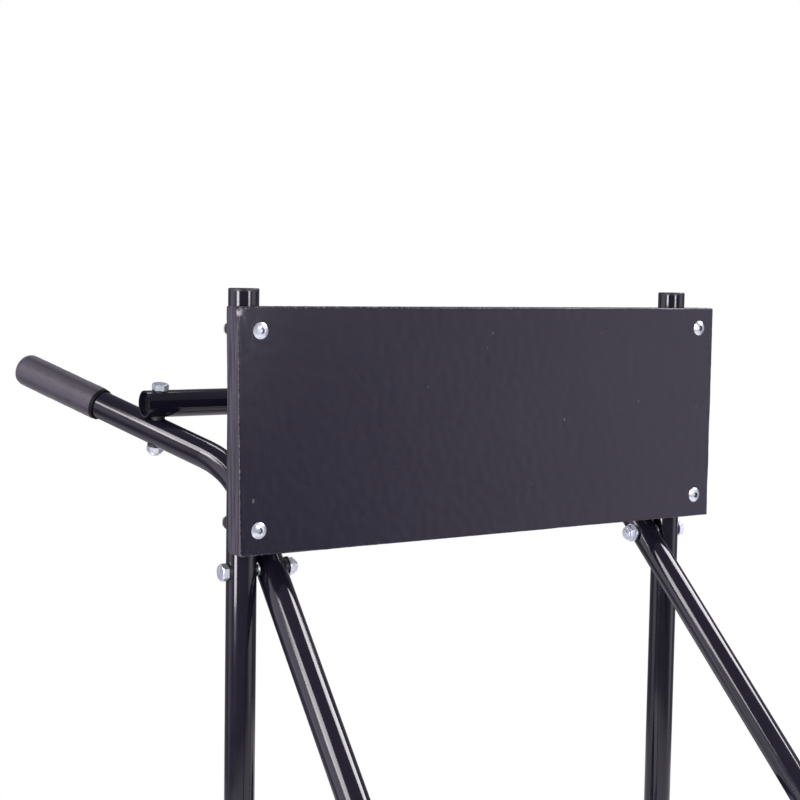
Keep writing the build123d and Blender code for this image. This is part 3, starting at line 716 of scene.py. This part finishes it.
def softbox(name, azimuth, elevation, distance, width, height, radiance):
    """A rectangular light that the camera doesn't see; radiance is its brightness in a reflection."""
    lamp = bpy.data.lights.new(name, "AREA")
    lamp.shape = "RECTANGLE"
    lamp.size = width
    lamp.size_y = height
    lamp.energy = radiance * width * height * math.pi
    lamp.color = LAMP_TINT
    place = bpy.data.objects.new(name, lamp)
    bpy.context.scene.collection.objects.link(place)
    away = direction(azimuth, elevation)
    place.location = MIDDLE + away * distance
    place.rotation_euler = away.to_track_quat("Z", "Y").to_euler()
    place.visible_camera = False


def softboxes():
    """Each one's azimuth, elevation, distance, width, height and radiance."""
    softbox("left_softbox", -83.5, 32.0, 2.15, 0.58, 0.95, 10.5)
    softbox("left_rear_softbox", -94.0, 24.5, 1.99, 0.20, 0.38, 11.0)
    softbox("left_low_softbox", -74.0, -2.6, 2.15, 0.60, 0.81, 17.0)
    softbox("front_softbox", 3.9, 19.0, 1.23, 0.32, 0.62, 15.0)
    softbox("right_softbox", 76.5, 40.0, 1.9, 0.74, 1.0, 13.0)
    softbox("top_rear_softbox", 152.0, 62.0, 2.0, 0.35, 0.35, 8.0)


def studio_world():
    """White to the camera; for light and reflections a dim room, pale at the left rear and right front."""
    world = bpy.data.worlds.new("studio")
    bpy.context.scene.world = world
    world.use_nodes = True
    tree = world.node_tree
    tree.nodes.clear()
    ray = node(tree, "TexCoord").outputs["Generated"]

    def pale_patch(azimuth, elevation, edge_cosine, full_cosine, radiance):
        inputs = {0: ray, 1: direction(azimuth, elevation)}
        cosine = node(tree, "VectorMath", inputs, operation="DOT_PRODUCT").outputs["Value"]
        return remap(tree, cosine, edge_cosine, full_cosine, 0.0, radiance)

    room = math_node(tree, "ADD", ROOM_RADIANCE, pale_patch(-115.0, 12.0, 0.829, 0.956, 1.25))
    room = math_node(tree, "ADD", room, pale_patch(50.0, -2.0, 0.9135, 0.9945, 1.2))
    lit = node(tree, "Background", {"Strength": room, "Color": ROOM_TINT}).outputs[0]
    seen = node(tree, "Background", {"Strength": 1.0, "Color": WHITE}).outputs[0]
    camera_ray = node(tree, "LightPath").outputs["Is Camera Ray"]
    mixed = node(tree, "MixShader", {0: camera_ray, 1: lit, 2: seen}).outputs[0]
    node(tree, "OutputWorld", {"Surface": mixed})


def floor_paper():
    """Pale paper that fades into the white surroundings; reflections see a little more of it."""
    paper, tree, shader, place = material("floor_paper")
    fibre = noise(tree, place, 900.0, detail=2.0)
    feed(tree, shader, Base_Color=(0.86, 0.86, 0.87), Roughness=0.85)
    bump(tree, shader, fibre, 0.0001, 0.2)
    distance = distance_to(tree, place, FADE_MIDDLE)
    seen_fade = remap(tree, distance, *SEEN_FADE)
    mirrored_fade = remap(tree, distance, *MIRRORED_FADE)
    camera_ray = node(tree, "LightPath").outputs["Is Camera Ray"]
    fade = node(tree, "Mix", {"Factor": camera_ray, NUMBER_A: mirrored_fade, NUMBER_B: seen_fade}).outputs[0]
    clear = node(tree, "BsdfTransparent").outputs[0]
    mixed = node(tree, "MixShader", {0: fade, 1: shader.outputs[0], 2: clear}).outputs[0]
    tree.links.new(mixed, tree.nodes["Material Output"].inputs["Surface"])
    return paper


def floor():
    """A round floor under the stand."""
    points = [(0.0, 0.0, 0.0)]
    faces = []
    for ring in range(1, FLOOR_RINGS + 1):
        radius = FLOOR_REACH * ring / FLOOR_RINGS
        for spoke in range(FLOOR_SPOKES):
            turn = math.tau * spoke / FLOOR_SPOKES
            points.append((radius * math.cos(turn), radius * math.sin(turn), 0.0))
    for spoke in range(FLOOR_SPOKES):
        after = (spoke + 1) % FLOOR_SPOKES
        faces.append((0, 1 + spoke, 1 + after))
        for ring in range(FLOOR_RINGS - 1):
            near = 1 + ring * FLOOR_SPOKES
            far = near + FLOOR_SPOKES
            faces.append((near + spoke, far + spoke, far + after, near + after))
    mesh = bpy.data.meshes.new("floor")
    mesh.from_pydata(points, [], faces)
    made = bpy.data.objects.new("floor", mesh)
    bpy.context.scene.collection.objects.link(made)
    mesh.materials.append(floor_paper())


def camera():
    """Left of the board and a little above it, looking slightly down."""
    lens = bpy.data.cameras.new("camera")
    lens.sensor_width = SENSOR_MM
    lens.lens = LENS_MM
    lens.clip_start = 0.05
    lens.clip_end = 60.0
    eye = bpy.data.objects.new("camera", lens)
    bpy.context.scene.collection.objects.link(eye)
    forward = Vector(CAMERA_FORWARD)
    right = Vector(CAMERA_RIGHT)
    turn = Matrix((right, right.cross(forward), -forward)).transposed()
    eye.matrix_world = Matrix.Translation(CAMERA_AT) @ turn.to_4x4()
    bpy.context.scene.camera = eye


dress_cad_nodes()
mounting_board()
grips()
tyres()
studio_world()
softboxes()
floor()
camera()
bpy.context.scene.view_settings.view_transform = "Standard"
